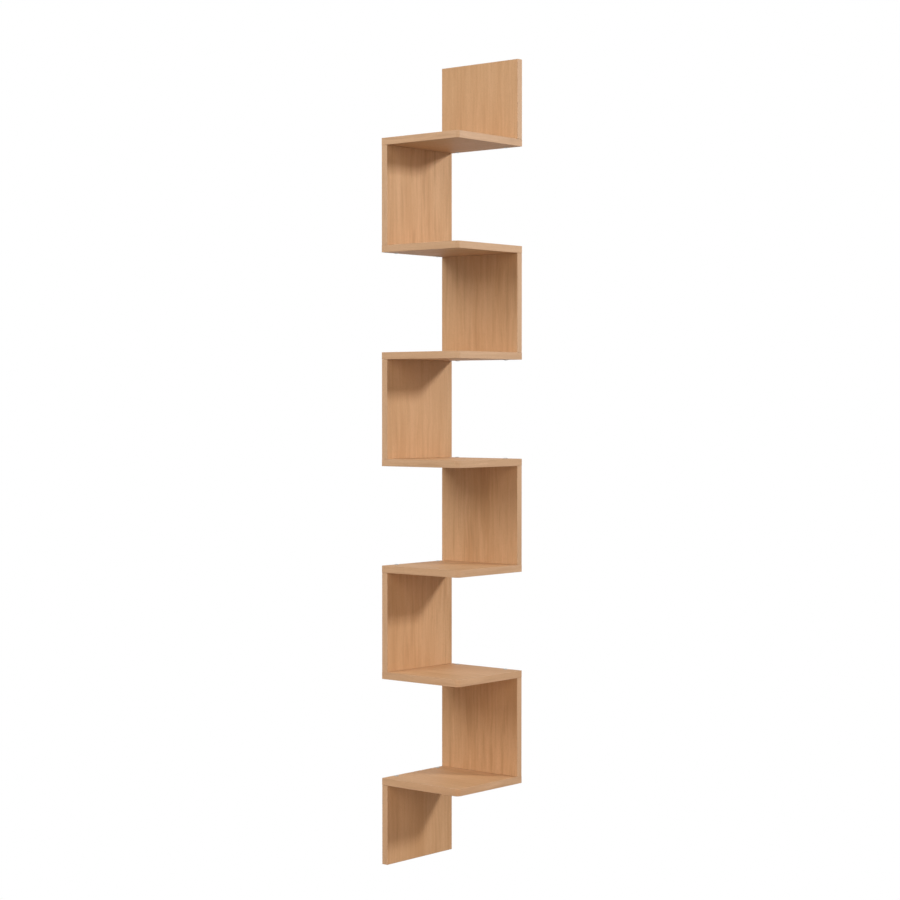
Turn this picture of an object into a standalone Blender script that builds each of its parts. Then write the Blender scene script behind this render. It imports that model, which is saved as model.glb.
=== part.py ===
"""Hanging corner shelf: square shelves and wall uprights screwed into a zig-zag.

Units are metres, +Z is up. The origin is on the line where the two walls meet, level with the
foot of the lowest upright. The right wall is the plane y = 0 and runs along +X. The left wall is
the plane x = 0 and runs along -Y. Shelves and uprights are numbered from the top.
"""

import math

import bmesh
import bpy
from mathutils import Vector

# Boards
SHELF_COUNT = 7
SHELF_SIDE = 0.250
BOARD_THICKNESS = 0.018
BAY_HEIGHT = 0.250
TOP_UPRIGHT_HEIGHT = 0.200
BOTTOM_UPRIGHT_HEIGHT = 0.200
CORNER_RADIUS = 0.012
CORNER_SEGMENTS = 8

# Edge bands, glued to every edge that shows
BAND_THICKNESS = 0.001
GLUE_LINE = 0.0002

# Gaps between pieces that meet
JOINT_GAP = 0.0003
HOLE_CLEARANCE = 0.0003

# Assembly screws: a low domed head, a countersunk neck, a plain shank and a threaded core
SCREW_INSET = 0.045
SCREW_LENGTH = 0.050
SCREW_TIP_LENGTH = 0.005
HEAD_DIAMETER = 0.0115
HEAD_HEIGHT = 0.0013
HEAD_RIM_HEIGHT = 0.0004
NECK_DIAMETER = 0.0095
NECK_LENGTH = 0.003
SHANK_DIAMETER = 0.007
SHANK_LENGTH = 0.015
CORE_DIAMETER = 0.005
DOME_RINGS = 3
SCREW_SIDES = 12

# Wall hangers: round press-in cups with a keyhole, flush with the backs of the top two uprights
HANGER_DIAMETER = 0.035
HANGER_DEPTH = 0.011
HANGER_WALL = 0.0015
HANGER_PLATE = 0.002
HANGER_CHAMFER = 0.0006
HANGER_DROP = 0.060
KEYHOLE_MOUTH_DIAMETER = 0.0095
KEYHOLE_SLOT_WIDTH = 0.005
KEYHOLE_SLOT_LENGTH = 0.010
HANGER_SIDES = 24
SLOT_END_SEGMENTS = 6
MOUTH_SEGMENTS = 14

# Colour, roughness and metallic value of each finish
FINISHES = {
    "beech_decor": ((0.57, 0.345, 0.19), 0.45, 0.0),
    "edge_band": ((0.59, 0.365, 0.21), 0.40, 0.0),
    "screw_zinc": ((0.55, 0.54, 0.52), 0.35, 1.0),
    "hanger_zinc": ((0.50, 0.50, 0.50), 0.45, 1.0),
}

# A board stops short of its outline by its edge band
EDGE_ALLOWANCE = BAND_THICKNESS + GLUE_LINE
CORE_SIDE = SHELF_SIDE - EDGE_ALLOWANCE
CORE_CORNER_RADIUS = CORNER_RADIUS - EDGE_ALLOWANCE
SHELF_PITCH = BAY_HEIGHT + BOARD_THICKNESS

# A cutter runs past the face that it opens by the thickness of a board
CUTTER_OVERRUN = BOARD_THICKNESS


# Scene

def clear_scene():
    for obj in list(bpy.data.objects):
        bpy.data.objects.remove(obj, do_unlink=True)


def make_collection(name):
    collection = bpy.data.collections.new(name)
    bpy.context.scene.collection.children.link(collection)
    return collection


def make_material(name):
    colour, roughness, metallic = FINISHES[name]
    material = bpy.data.materials.new(name)
    material.use_nodes = True
    shader = material.node_tree.nodes["Principled BSDF"]
    shader.inputs["Base Color"].default_value = (*colour, 1.0)
    shader.inputs["Roughness"].default_value = roughness
    shader.inputs["Metallic"].default_value = metallic
    material.diffuse_color = (*colour, 1.0)
    return material


clear_scene()
PARTS = make_collection("hanging_corner_shelf")
CUTTERS = make_collection("cutters")
MATERIALS = {name: make_material(name) for name in FINISHES}
CORNER = bpy.data.objects.new("room_corner", None)
PARTS.objects.link(CORNER)


def add_part(name, mesh, finish, location):
    """A piece of the shelf, placed in the room corner's frame."""
    part = bpy.data.objects.new(name, mesh)
    mesh.materials.append(MATERIALS[finish])
    part.location = location
    part.parent = CORNER
    PARTS.objects.link(part)
    return part


def add_cutter(name, mesh, location):
    cutter = bpy.data.objects.new(name, mesh)
    cutter.location = location
    cutter.parent = CORNER
    cutter.hide_render = True
    cutter.display_type = "WIRE"
    CUTTERS.objects.link(cutter)
    return cutter


def cut(part, cutter):
    modifier = part.modifiers.new(cutter.name, "BOOLEAN")
    modifier.operation = "DIFFERENCE"
    modifier.object = cutter


# Shapes

def smooth_mesh(name, bm):
    """A mesh from bm, smooth where it is round and sharp at its corners."""
    mesh = bpy.data.meshes.new(name)
    bm.to_mesh(mesh)
    bm.free()
    mesh.shade_smooth()
    mesh.set_sharp_from_angle(angle=math.radians(30))
    return mesh


def box_mesh(name, corner, opposite, rounded_edge=None, radius=0.0):
    """A box between two opposite corners. rounded_edge is the (x, y) of a vertical edge to round."""
    low = Vector(map(min, corner, opposite))
    high = Vector(map(max, corner, opposite))
    bm = bmesh.new()
    bmesh.ops.create_cube(bm, size=1.0)
    bmesh.ops.scale(bm, vec=high - low, verts=bm.verts)
    bmesh.ops.translate(bm, vec=(low + high) / 2, verts=bm.verts)
    if rounded_edge is not None:
        place = Vector(rounded_edge)
        nearest = min(bm.edges, key=lambda edge: max((v.co.xy - place).length for v in edge.verts))
        bmesh.ops.bevel(bm, geom=[nearest], offset=radius, segments=CORNER_SEGMENTS,
                        profile=0.5, affect="EDGES")
    return smooth_mesh(name, bm)


def profile_mesh(name, profile):
    """An open line of (radius, height) points, ready to be turned about Z."""
    mesh = bpy.data.meshes.new(name)
    points = [(radius, 0.0, height) for radius, height in profile]
    mesh.from_pydata(points, [(i, i + 1) for i in range(len(points) - 1)], [])
    return mesh


def turn(obj, sides):
    """Turns the object's profile about its own Z axis."""
    screw = obj.modifiers.new("turned", "SCREW")
    screw.steps = sides
    screw.render_steps = sides
    screw.merge_threshold = 1e-6
    screw.use_merge_vertices = True
    screw.use_smooth_shade = True


def band_mesh(name, path, across):
    """An open strip along path, as wide as across. path x across points out of the board."""
    bm = bmesh.new()
    near = [bm.verts.new(point) for point in path]
    edges = [bm.edges.new(pair) for pair in zip(near, near[1:])]
    swept = bmesh.ops.extrude_edge_only(bm, edges=edges)["geom"]
    bmesh.ops.translate(bm, vec=across, verts=[v for v in swept if isinstance(v, bmesh.types.BMVert)])
    bmesh.ops.recalc_face_normals(bm, faces=bm.faces)
    outward = (path[1] - path[0]).cross(across)
    if near[0].link_faces[0].normal.dot(outward) < 0:
        bmesh.ops.reverse_faces(bm, faces=bm.faces)
    return smooth_mesh(name, bm)


def thicken_band(band):
    solidify = band.modifiers.new("band", "SOLIDIFY")
    solidify.thickness = BAND_THICKNESS
    solidify.offset = -1.0
    solidify.use_even_offset = True


def arc(centre, radius, start, end, segments):
    """Points of an arc in a plane, from angle start to angle end."""
    angles = [start + (end - start) * i / segments for i in range(segments + 1)]
    return [(centre[0] + radius * math.cos(a), centre[1] + radius * math.sin(a)) for a in angles]


# Places

def wall_side(upright):
    """The top upright is on the right wall, and the rest take turns."""
    return "right" if upright % 2 else "left"


def on_wall(side, along, depth, height=0.0):
    """A point so far along a wall from the room's corner, and so far out from the wall."""
    if side == "right":
        return Vector((along, -depth, height))
    return Vector((depth, -along, height))


def shelf_level(shelf):
    """Height of a shelf's underside."""
    return BOTTOM_UPRIGHT_HEIGHT + (SHELF_COUNT - shelf) * SHELF_PITCH


def upright_span(upright):
    """Heights of an upright's two ends, a hairline clear of the shelves it meets."""
    if upright == SHELF_COUNT + 1:
        low = 0.0
    else:
        low = shelf_level(upright) + BOARD_THICKNESS + JOINT_GAP
    if upright == 1:
        high = shelf_level(1) + BOARD_THICKNESS + TOP_UPRIGHT_HEIGHT
    else:
        high = shelf_level(upright - 1) - JOINT_GAP
    return low, high


# Shelves

def make_shelf(shelf):
    name = f"shelf_{shelf}"
    corner = (0.0, 0.0, 0.0)
    opposite = (CORE_SIDE, -CORE_SIDE, BOARD_THICKNESS)
    mesh = box_mesh(name, corner, opposite, rounded_edge=opposite[:2], radius=CORE_CORNER_RADIUS)
    return add_part(name, mesh, "beech_decor", (0.0, 0.0, shelf_level(shelf)))


def make_shelf_band(shelf):
    """One band runs along both open edges and round the outer corner."""
    centre = (SHELF_SIDE - CORNER_RADIUS, -SHELF_SIDE + CORNER_RADIUS)
    round_corner = arc(centre, CORNER_RADIUS, -math.pi / 2, 0.0, CORNER_SEGMENTS)
    plan = [(0.0, -SHELF_SIDE), *round_corner, (SHELF_SIDE, 0.0)]
    name = f"shelf_{shelf}_edge_band"
    mesh = band_mesh(name, [Vector((x, y, 0.0)) for x, y in plan], Vector((0, 0, BOARD_THICKNESS)))
    thicken_band(add_part(name, mesh, "edge_band", (0.0, 0.0, shelf_level(shelf))))


# Uprights

def make_upright(upright):
    name = f"upright_{upright}"
    side = wall_side(upright)
    low, high = upright_span(upright)
    bottom = EDGE_ALLOWANCE if upright == SHELF_COUNT + 1 else 0.0
    top = high - low - (EDGE_ALLOWANCE if upright == 1 else 0.0)
    corner = on_wall(side, 0.0, 0.0, bottom)
    opposite = on_wall(side, CORE_SIDE, BOARD_THICKNESS, top)
    return add_part(name, box_mesh(name, corner, opposite), "beech_decor", (0.0, 0.0, low))


def make_upright_band(upright):
    """A band on the open edge, which also covers the free end of the first and last upright."""
    side = wall_side(upright)
    low, high = upright_span(upright)
    length = high - low
    path = [on_wall(side, SHELF_SIDE, 0.0, 0.0), on_wall(side, SHELF_SIDE, 0.0, length)]
    if upright == SHELF_COUNT + 1:
        path.insert(0, on_wall(side, 0.0, 0.0, 0.0))
    if upright == 1:
        path.append(on_wall(side, 0.0, 0.0, length))
    if side == "left":
        path.reverse()
    name = f"upright_{upright}_edge_band"
    mesh = band_mesh(name, path, on_wall(side, 0.0, BOARD_THICKNESS))
    thicken_band(add_part(name, mesh, "edge_band", (0.0, 0.0, low)))


# Screws

def screw_profile():
    """From the top of the head, on the axis, down to the tip. Height 0 is the shelf's face."""
    head = HEAD_DIAMETER / 2
    crown = HEAD_HEIGHT - HEAD_RIM_HEIGHT
    rings = [i / DOME_RINGS * math.pi / 2 for i in range(DOME_RINGS + 1)]
    dome = [(head * math.sin(a), JOINT_GAP + HEAD_RIM_HEIGHT + crown * math.cos(a)) for a in rings]
    seat = [(head, JOINT_GAP), (NECK_DIAMETER / 2, JOINT_GAP), (NECK_DIAMETER / 2, 0.0)]
    return dome + seat + screw_shaft(0.0)


def screw_shaft(clearance):
    """Neck, shank and core below the face, or the hole for them when clearance is given."""
    shank = SHANK_DIAMETER / 2 + clearance
    core = CORE_DIAMETER / 2 + clearance
    return [
        (shank, -NECK_LENGTH),
        (shank, -SHANK_LENGTH - clearance),
        (core, -SHANK_LENGTH - clearance),
        (core, -SCREW_LENGTH + SCREW_TIP_LENGTH),
        (0.0, -SCREW_LENGTH - clearance),
    ]


def screw_hole_profile():
    neck = NECK_DIAMETER / 2 + HOLE_CLEARANCE
    mouth = [(0.0, CUTTER_OVERRUN), (neck, CUTTER_OVERRUN), (neck, 0.0)]
    return mouth + screw_shaft(HOLE_CLEARANCE)


def add_screw(name, location, upward, shelf_part, upright_part):
    """A screw from a shelf's face into the end of an upright, and the stepped hole it sits in."""
    screw = add_part(name, profile_mesh(name, screw_profile()), "screw_zinc", location)
    hole_name = f"{name}_hole"
    hole = add_cutter(hole_name, profile_mesh(hole_name, screw_hole_profile()), location)
    for turned in (screw, hole):
        turned.rotation_euler = (math.pi if upward else 0.0, 0.0, 0.0)
        turn(turned, SCREW_SIDES)
    cut(shelf_part, hole)
    cut(upright_part, hole)


def fasten_shelf(shelf, shelf_part, uprights):
    """Two screws up into the upright above the shelf, and two down into the one below it."""
    underside = shelf_level(shelf)
    joints = (
        ("upper", shelf, underside, True),
        ("lower", shelf + 1, underside + BOARD_THICKNESS, False),
    )
    insets = (("inner", SCREW_INSET), ("outer", SHELF_SIDE - SCREW_INSET))
    for joint, upright, face, upward in joints:
        for place, along in insets:
            location = on_wall(wall_side(upright), along, BOARD_THICKNESS / 2, face)
            name = f"shelf_{shelf}_{joint}_screw_{place}"
            add_screw(name, location, upward, shelf_part, uprights[upright])


# Wall hangers

def hanger_profile():
    """A plate with a skirt, open towards the board. Height 0 is the plate's outer face."""
    radius = HANGER_DIAMETER / 2
    return [
        (0.0, 0.0),
        (radius - HANGER_CHAMFER, 0.0),
        (radius, -HANGER_CHAMFER),
        (radius, -HANGER_DEPTH),
        (radius - HANGER_WALL, -HANGER_DEPTH),
        (radius - HANGER_WALL, -HANGER_PLATE),
        (0.0, -HANGER_PLATE),
    ]


def pocket_profile():
    radius = HANGER_DIAMETER / 2 + HOLE_CLEARANCE
    floor = -HANGER_DEPTH - HOLE_CLEARANCE
    return [(0.0, CUTTER_OVERRUN), (radius, CUTTER_OVERRUN), (radius, floor), (0.0, floor)]


def keyhole_outline():
    """A round mouth below and a narrow slot above, with the pair centred on the plate."""
    mouth = KEYHOLE_MOUTH_DIAMETER / 2
    slot = KEYHOLE_SLOT_WIDTH / 2
    mouth_centre = (0.0, -KEYHOLE_SLOT_LENGTH / 2)
    slot_centre = (0.0, KEYHOLE_SLOT_LENGTH / 2)
    neck = math.acos(slot / mouth)
    slot_end = arc(slot_centre, slot, 0.0, math.pi, SLOT_END_SEGMENTS)
    round_mouth = arc(mouth_centre, mouth, math.pi - neck, 2 * math.pi + neck, MOUTH_SEGMENTS)
    return slot_end + round_mouth


def keyhole_mesh(name):
    """The keyhole's outline drawn as a filled curve, then made a closed mesh."""
    drawn = bpy.data.curves.new(name, "CURVE")
    drawn.dimensions = "2D"
    drawn.fill_mode = "BOTH"
    drawn.extrude = HANGER_PLATE / 2 + CUTTER_OVERRUN
    outline = keyhole_outline()
    spline = drawn.splines.new("POLY")
    spline.points.add(len(outline) - 1)
    for point, (x, y) in zip(spline.points, outline):
        point.co = (x, y, 0.0, 1.0)
    spline.use_cyclic_u = True
    sketch = bpy.data.objects.new(name, drawn)
    CUTTERS.objects.link(sketch)
    graph = bpy.context.evaluated_depsgraph_get()
    mesh = bpy.data.meshes.new_from_object(sketch.evaluated_get(graph))
    bpy.data.objects.remove(sketch, do_unlink=True)
    bm = bmesh.new()
    bm.from_mesh(mesh)
    bmesh.ops.remove_doubles(bm, verts=bm.verts, dist=1e-6)
    bmesh.ops.translate(bm, vec=(0.0, 0.0, -HANGER_PLATE / 2), verts=bm.verts)
    bmesh.ops.recalc_face_normals(bm, faces=bm.faces)
    bm.to_mesh(mesh)
    bm.free()
    return mesh


def make_hanger(upright, upright_part):
    """A hanger in an upright's back, facing the wall, and the round pocket it is pressed into."""
    side = wall_side(upright)
    high = upright_span(upright)[1]
    location = on_wall(side, SHELF_SIDE / 2, JOINT_GAP, high - HANGER_DROP)
    name = f"wall_hanger_{side}"
    hanger = add_part(name, profile_mesh(name, hanger_profile()), "hanger_zinc", location)
    pocket = add_cutter(f"{name}_pocket", profile_mesh(f"{name}_pocket", pocket_profile()), location)
    keyhole = add_cutter(f"{name}_keyhole", keyhole_mesh(f"{name}_keyhole"), location)
    towards_wall = on_wall(side, 0.0, -1.0)
    for obj in (hanger, pocket, keyhole):
        obj.rotation_euler = towards_wall.to_track_quat("Z", "Y").to_euler()
    turn(hanger, HANGER_SIDES)
    turn(pocket, HANGER_SIDES)
    cut(hanger, keyhole)
    cut(upright_part, pocket)


# Assembly

UPRIGHTS = {number: make_upright(number) for number in range(1, SHELF_COUNT + 2)}
for number in UPRIGHTS:
    make_upright_band(number)
for number in range(1, SHELF_COUNT + 1):
    board = make_shelf(number)
    make_shelf_band(number)
    fasten_shelf(number, board, UPRIGHTS)
for number in (1, 2):
    make_hanger(number, UPRIGHTS[number])
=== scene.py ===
"""Looks of a hanging corner shelf: boards in beech decor, edge bands, assembly screws, wall hangers.

Units are metres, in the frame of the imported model. The origin is on the line where the two walls
meet, level with the foot of the lowest upright. The right wall is the plane y = 0 and runs along
+X. The left wall is the plane x = 0 and runs along -Y. Shelves and uprights are numbered from the
top. Uprights with odd numbers hang on the right wall, those with even numbers on the left wall.
"""

import math
from contextlib import contextmanager

import bmesh
import bpy
from mathutils import Matrix, Vector


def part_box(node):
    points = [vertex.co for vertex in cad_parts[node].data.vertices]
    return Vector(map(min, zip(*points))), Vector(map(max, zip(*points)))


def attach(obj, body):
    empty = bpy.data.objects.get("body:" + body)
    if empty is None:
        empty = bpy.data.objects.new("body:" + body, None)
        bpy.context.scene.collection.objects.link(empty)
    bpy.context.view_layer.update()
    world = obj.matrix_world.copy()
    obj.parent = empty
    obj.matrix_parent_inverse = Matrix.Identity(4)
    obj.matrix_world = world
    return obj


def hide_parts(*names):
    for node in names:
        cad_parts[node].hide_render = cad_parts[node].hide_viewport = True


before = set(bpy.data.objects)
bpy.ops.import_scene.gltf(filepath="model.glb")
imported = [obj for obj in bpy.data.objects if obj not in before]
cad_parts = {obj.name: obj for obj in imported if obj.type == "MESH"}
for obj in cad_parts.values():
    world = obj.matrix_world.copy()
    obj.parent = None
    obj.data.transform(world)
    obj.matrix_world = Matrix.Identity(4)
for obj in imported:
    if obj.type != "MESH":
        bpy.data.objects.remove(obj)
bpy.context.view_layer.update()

# Each wall's direction also points straight out from the other wall
ALONG_RIGHT_WALL = Vector((1, 0, 0))
ALONG_LEFT_WALL = Vector((0, -1, 0))
UP = Vector((0, 0, 1))

# Points nearer than this are one point
SAME_POINT = 1e-6

# A cutter runs past the face that it opens by this much
CUTTER_OVERRUN = 0.004

# Faces that meet at less than this angle are shaded as one
SMOOTH_BELOW = math.radians(40)

# Boards
SHELF_COUNT = 7
UPRIGHT_COUNT = SHELF_COUNT + 1
SHELF_CORNER_RADIUS = 0.012
CORNER_STEPS = 20
ARRIS = 0.0002
ARRIS_STEPS = 2

# Decor covers what faces along a board's thickness, up to a tilt with this cosine
DECOR_COSINE = 0.6

# Edge bands
BAND_ROUNDING = 0.0007
BAND_ROUNDING_STEPS = 4
BAND_SEAM = 0.00008

# Assembly screws: height 0 is the shelf's face, and the head stands above it
SCREWS_A_JOINT = 2
SCREWS_A_SHELF = 2 * SCREWS_A_JOINT
HEAD_DIAMETER = 0.0115
HEAD_HEIGHT = 0.0016
HEAD_RIM_HEIGHT = 0.0006
HEAD_SEAT = 0.00003
NECK_DIAMETER = 0.0095
NECK_LENGTH = 0.003
SHANK_DIAMETER = 0.007
SHANK_LENGTH = 0.015
CORE_DIAMETER = 0.005
SCREW_LENGTH = 0.050
TIP_LENGTH = 0.005
SOCKET_ACROSS_FLATS = 0.004
SOCKET_DEPTH = 0.0026
SOCKET_SIDES = 6
TURNED_SIDES = 36
DOME_STEPS = 8
HOLE_CLEARANCE = 0.0003

# Each screw stands turned from the one before it by this angle
SCREW_TURN = math.pi * (3 - math.sqrt(5))

# Thread: its ridge grows over the first share of its way and fades from the other one on
THREAD_PITCH = 0.003
THREAD_HEIGHT = 0.0010
THREAD_STEPS = 18
THREAD_RIDGE_SIDES = 3
THREAD_GROWN_AT = 0.10
THREAD_FADES_AT = 0.92
THREAD_END_SIZE = 0.05

# Wall hangers, by the upright that carries each: height 0 is the plate's outer face
HANGERS = {"wall_hanger_right": 1, "wall_hanger_left": 2}
HANGER_DIAMETER = 0.035
HANGER_DEPTH = 0.011
HANGER_WALL = 0.0015
HANGER_PLATE = 0.002
HANGER_CHAMFER = 0.0006
HANGER_SIDES = 72
HANGER_EDGE = 0.00015
HANGER_EDGE_STEPS = 2
KEYHOLE_MOUTH_DIAMETER = 0.0095
KEYHOLE_SLOT_WIDTH = 0.005
KEYHOLE_SLOT_LENGTH = 0.010
KEYHOLE_STEPS = 24

# Boards and bands are numbered on, and each number is cut from another place of the printed decor
SHELF_DECOR = UPRIGHT_COUNT
SHELF_BAND_DECOR = 2 * UPRIGHT_COUNT
UPRIGHT_BAND_DECOR = 3 * UPRIGHT_COUNT
END_BAND_DECOR = 4 * UPRIGHT_COUNT
DECOR_STEP_ALONG = 0.437
DECOR_STEP_ACROSS = 0.613

# Finish of the boards and of the bands
BEECH_LIGHT = (0.715, 0.448, 0.250)
BEECH_DARK = (0.582, 0.332, 0.159)
BEECH_ROUGHNESS = 0.60
BEECH_GLOSS = 0.28
BEECH_PORE_DEPTH = 0.00006
BAND_LIGHT = (0.695, 0.446, 0.264)
BAND_DARK = (0.578, 0.347, 0.186)
BAND_ROUGHNESS = 0.50
BAND_GLOSS = 0.45
BAND_PORE_DEPTH = 0.00004

# Marks of the beech print: cells a metre along and across the grain
SWAY_CELLS = (9.0, 22.0)
PATCH_CELLS = (2.5, 14.0)
STREAK_CELLS = (5.0, 150.0)
STROKE_CELLS = (6.0, 80.0)
FULLNESS_CELLS = (1.5, 3.5)
FIBRE_CELLS = (55.0, 1700.0)
FLECK_CELLS = (230.0, 1300.0)

# Marks of the beech print: values of the pattern between which a mark comes or goes
SWAY_RANGE = (0.2, 0.8)
TONE_RANGE = (0.25, 0.75)
DEEP_STROKE_RANGE = (0.52, 0.68)
PALE_STROKE_RANGE = (0.32, 0.46)
FULLNESS_RANGE = (0.36, 0.62)
FIBRE_RANGE = (0.3, 0.7)
FLECK_EDGE = (0.14, 0.34)
FLECK_DRAWN = (0.45, 0.62)

# Marks of the beech print: strengths, and tones as a share of the light or dark colour
FIGURE_SWAY = 0.003
PATCH_SHARE = 0.5
STREAK_ROUGHNESS = 0.6
DEEP_STROKE_STRENGTH = 0.75
DEEP_STROKE_TONE = 0.90
PALE_STROKE_STRENGTH = 0.65
PALE_STROKE_TONE = 1.04
FULLNESS_LEAST = 0.25
FIBRE_STRENGTH = 0.30
FLECK_STRENGTH = 0.55
FLECK_TONE = 0.62

# Feel of the beech print: how fibre and flecks change its roughness and its height
FIBRE_FEEL_RANGE = (0.25, 0.75)
FIBRE_ROUGHNESS = 0.05
FLECK_ROUGHNESS = 0.06
FLECK_HEIGHT = -0.8
PORE_STRENGTH = 0.5

# Raw chipboard: cells a metre along, across and through a board, and the skin's depth from its middle
CORE_CHIP_CELLS = (190.0, 190.0, 950.0)
SKIN_CHIP_CELLS = (600.0, 600.0, 2600.0)
SKIN_DEPTH = (0.0050, 0.0068)
CHIP_TONES = ((0.22, 0.13, 0.07), (0.46, 0.31, 0.18), (0.62, 0.45, 0.28), (0.74, 0.59, 0.41))
CHIP_TONE_PLACES = (0.0, 0.3, 0.65, 1.0)
CHIP_ROUGHNESS = (0.78, 0.92)
CHIP_DEPTH = 0.0003
CHIP_STRENGTH = 0.6
CHIP_GAP_RANGE = (0.45, 0.85)
CHIP_GAP_SHADE = 0.5
CHIP_GAP_HEIGHT = -0.7

# Metals: cells a metre of their clouds and grit, and how much deeper the clouds are
SCREW_ZINC = (0.42, 0.41, 0.39)
SCREW_CLOUD_CELLS = 260.0
SCREW_CLOUD_RANGE = (0.45, 0.75)
SCREW_CLOUD_TONE = 0.72
SCREW_ROUGHNESS = (0.30, 0.44)
SCREW_ROUGHNESS_RANGE = (0.3, 0.7)
SCREW_GRIT_CELLS = 2600.0
SCREW_GRIT_DEPTH = 0.00003
HANGER_ZINC = (0.33, 0.335, 0.34)
HANGER_CLOUD_CELLS = 190.0
HANGER_CLOUD_RANGE = (0.35, 0.65)
HANGER_CLOUD_TONE = 0.90
HANGER_ROUGHNESS = (0.46, 0.53)
HANGER_GRIT_CELLS = 1800.0
HANGER_GRIT_DEPTH = 0.00004
GRIT_STRENGTH = 0.3

# Camera
CAMERA_PLACE = (3.5878, -4.2035, 1.1646)
CAMERA_DOWN = math.radians(1.288)
CAMERA_TURN = math.radians(40.388)
CAMERA_LENS = 85.0
CAMERA_SENSOR = 36.0

# Floor: where it fades to white, by the distance from the shelf, and how white it is near by
FLOOR_LEVEL = -0.35
FLOOR_HALF_SIDE = 9.0
FLOOR_COLOUR = (0.24, 0.24, 0.24, 1.0)
FLOOR_ROUGHNESS = 0.9
FLOOR_FADE = (0.35, 0.85)
FLOOR_WHITE_NEAR = 0.72

# Light: the bounce is warm light that comes up from the floor in front of the lowest shelves
WHITE = (1.0, 1.0, 1.0, 1.0)
PLAIN_LIGHT = (1.0, 1.0, 1.0)
WARM_LIGHT = (1.0, 0.88, 0.78)
BOUNCE_LIGHT = (1.0, 0.45, 0.10)
ROOM_LIGHT = 0.08
SHELF_MIDDLE = (0.1, -0.1, 1.0)
SHELF_FOOT = (0.12, -0.12, 0.20)
LAMPS = (
    {"name": "key", "place": (4.1, 2.17, 2.8), "size": 0.55, "power": 131.0, "colour": PLAIN_LIGHT},
    {"name": "front", "place": (-1.7, -6.8, 5.9), "size": 6.0, "power": 455.0, "colour": PLAIN_LIGHT},
    {"name": "fill", "place": (5.9, -5.9, 3.2), "size": 6.0, "power": 240.0, "colour": WARM_LIGHT},
    {"name": "back", "place": (-6.0, -0.1, 1.5), "size": 2.0, "power": 45.0, "colour": PLAIN_LIGHT},
    {"name": "back", "place": (0.1, 6.0, 1.5), "size": 2.0, "power": 45.0, "colour": PLAIN_LIGHT},
    {"name": "bounce", "place": (0.62, -0.62, 0.10), "size": 0.8, "power": 0.70, "colour": BOUNCE_LIGHT,
     "aim": SHELF_FOOT},
)


# Node helpers

def add_node(tree, kind, settings=None, **inputs):
    """A node with its settings, and its inputs set to a value or linked to a socket, by name."""
    node = tree.nodes.new(kind)
    for name, value in (settings or {}).items():
        setattr(node, name, value)
    for name, value in inputs.items():
        feed(tree, node.inputs[name.replace("_", " ")], value)
    return node


def feed(tree, socket, value):
    """Links a socket to another one, or sets its value."""
    if isinstance(value, bpy.types.NodeSocket):
        tree.links.new(value, socket)
    else:
        socket.default_value = value


def feed_in_order(tree, node, *values):
    """Feeds a node's inputs from the first one on. The result is its first output."""
    for socket, value in zip(node.inputs, values):
        feed(tree, socket, value)
    return node.outputs[0]


def calculate(tree, operation, *values):
    """The result of a Math node on up to three values or sockets."""
    return feed_in_order(tree, add_node(tree, "ShaderNodeMath", {"operation": operation}), *values)


def moved(tree, vector, shift):
    """A vector with another one added."""
    node = add_node(tree, "ShaderNodeVectorMath", {"operation": "ADD"})
    return feed_in_order(tree, node, vector, shift)


def mixed(tree, data_type, kind, share, first, second):
    """The result of a Mix node, which has its own sockets for each kind of data."""
    node = add_node(tree, "ShaderNodeMix", {"data_type": data_type})
    inputs = {socket.identifier: socket for socket in node.inputs}
    feed(tree, inputs["Factor_Float"], share)
    feed(tree, inputs[f"A_{kind}"], first)
    feed(tree, inputs[f"B_{kind}"], second)
    outputs = {socket.identifier: socket for socket in node.outputs}
    return outputs[f"Result_{kind}"]


def blend_values(tree, share, first, second):
    """Two values mixed, first where share is 0 and second where it is 1."""
    return mixed(tree, "FLOAT", "Float", share, first, second)


def blend_colours(tree, share, first, second):
    """Two colours mixed in the same way. Each is a socket or a tuple of red, green and blue."""
    colours = [(*colour, 1.0) if isinstance(colour, tuple) else colour for colour in (first, second)]
    return mixed(tree, "RGBA", "Color", share, *colours)


def blend_shaders(tree, share, first, second):
    """Two shaders mixed in the same way."""
    return feed_in_order(tree, add_node(tree, "ShaderNodeMixShader"), share, first, second)


def toned(colour, share):
    """A colour made deeper, or paler where share is over 1."""
    return tuple(share * channel for channel in colour)


def spread(tree, value, low, high, to_low=0.0, to_high=1.0):
    """A value between low and high eased to a value between to_low and to_high."""
    node = add_node(tree, "ShaderNodeMapRange", {"interpolation_type": "SMOOTHSTEP"}, Value=value,
                    From_Min=low, From_Max=high, To_Min=to_low, To_Max=to_high)
    return node.outputs["Result"]


def stretched(tree, vector, along, across, through=0.0):
    """Coordinates counted in pattern cells a metre along the grain, across it and through it."""
    node = add_node(tree, "ShaderNodeMapping", Vector=vector, Scale=(along, across, through))
    return node.outputs["Vector"]


def noise(tree, vector, detail=2.0, roughness=0.5):
    """Soft noise with one cell to each unit of the vector."""
    node = add_node(tree, "ShaderNodeTexNoise", Vector=vector, Scale=1.0, Detail=detail,
                    Roughness=roughness)
    return node.outputs["Fac"]


def even_noise(tree, cells, detail):
    """Soft noise with as many cells a metre each way."""
    place = add_node(tree, "ShaderNodeTexCoord").outputs["Object"]
    return noise(tree, stretched(tree, place, cells, cells, cells), detail)


def drawn_value(tree, cells):
    """The random value that each cell of a Voronoi node has."""
    return add_node(tree, "ShaderNodeSeparateColor", Color=cells.outputs["Color"]).outputs["Red"]


def bumped(tree, height, depth, strength):
    """A normal that follows a height. A height of 1 is as many metres as depth says."""
    node = add_node(tree, "ShaderNodeBump", Height=height, Distance=depth, Strength=strength)
    return node.outputs["Normal"]


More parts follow.
